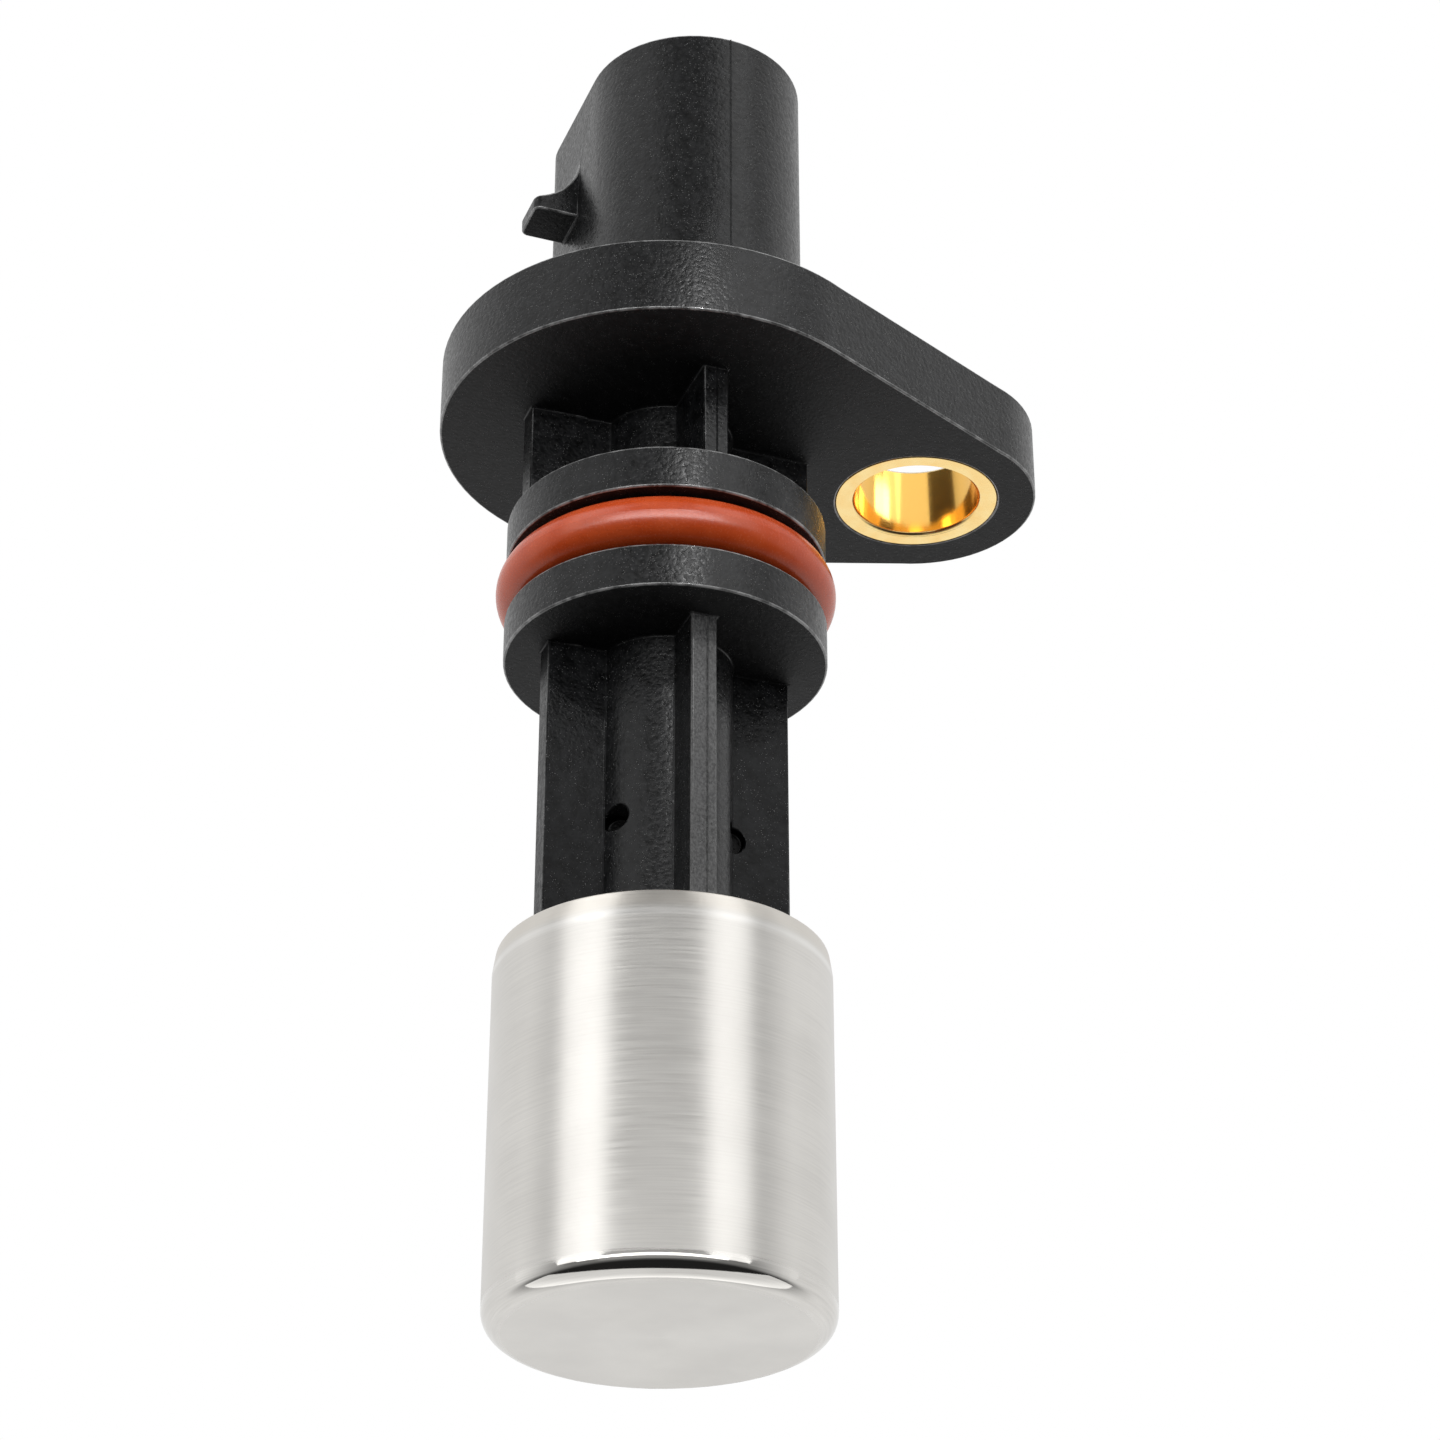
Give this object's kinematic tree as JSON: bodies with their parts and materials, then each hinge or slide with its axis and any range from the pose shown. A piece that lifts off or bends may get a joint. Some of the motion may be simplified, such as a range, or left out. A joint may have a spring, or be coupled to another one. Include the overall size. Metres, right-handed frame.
{
  "type": "crankshaft position sensor",
  "caption": "Crankshaft position sensor: moulded body with flange ear, D-shaped connector, O-ring land and ribbed shaft, ending in a drawn steel can that reads a reluctor wheel.",
  "frame": {"origin": "on the shaft's axis at the seat plane, the flange's underside", "axes": "+Z along the shaft towards the connector, +X towards the bolt ear"},
  "size_m": [0.0421, 0.0304, 0.0879],
  "materials": {
    "housing_plastic": "glass-filled, finely mottled black",
    "sleeve_brass": "bright turned",
    "ring_rubber": "satin rust orange",
    "can_steel": "brushed round the axis",
    "seal_rubber": "satin black",
    "terminal_metal": "tin plated",
    "carrier_plastic": "moulded",
    "magnet": "sintered",
    "soft_iron": "stamped",
    "chip_plastic": "moulded epoxy",
    "pad_film": "insulating film",
    "board_laminate": "solder mask",
    "capacitor_ceramic": "fired ceramic"
  },
  "bodies": {
    "root": {"housing": "housing_plastic", "compression_sleeve": "sleeve_brass", "o_ring": "ring_rubber", "sensor_can": "can_steel", "can_seal": "seal_rubber", "supply_terminal": "terminal_metal", "signal_terminal": "terminal_metal", "ground_terminal": "terminal_metal", "element_carrier": "carrier_plastic", "bias_magnet": "magnet", "flux_plate": "soft_iron", "sensing_chip": "chip_plastic", "tip_pad": "pad_film", "circuit_board": "board_laminate", "signal_chip": "chip_plastic", "supply_capacitor": "capacitor_ceramic", "output_capacitor": "capacitor_ceramic", "pull_up_resistor": "chip_plastic"}
  },
  "joints": []
}
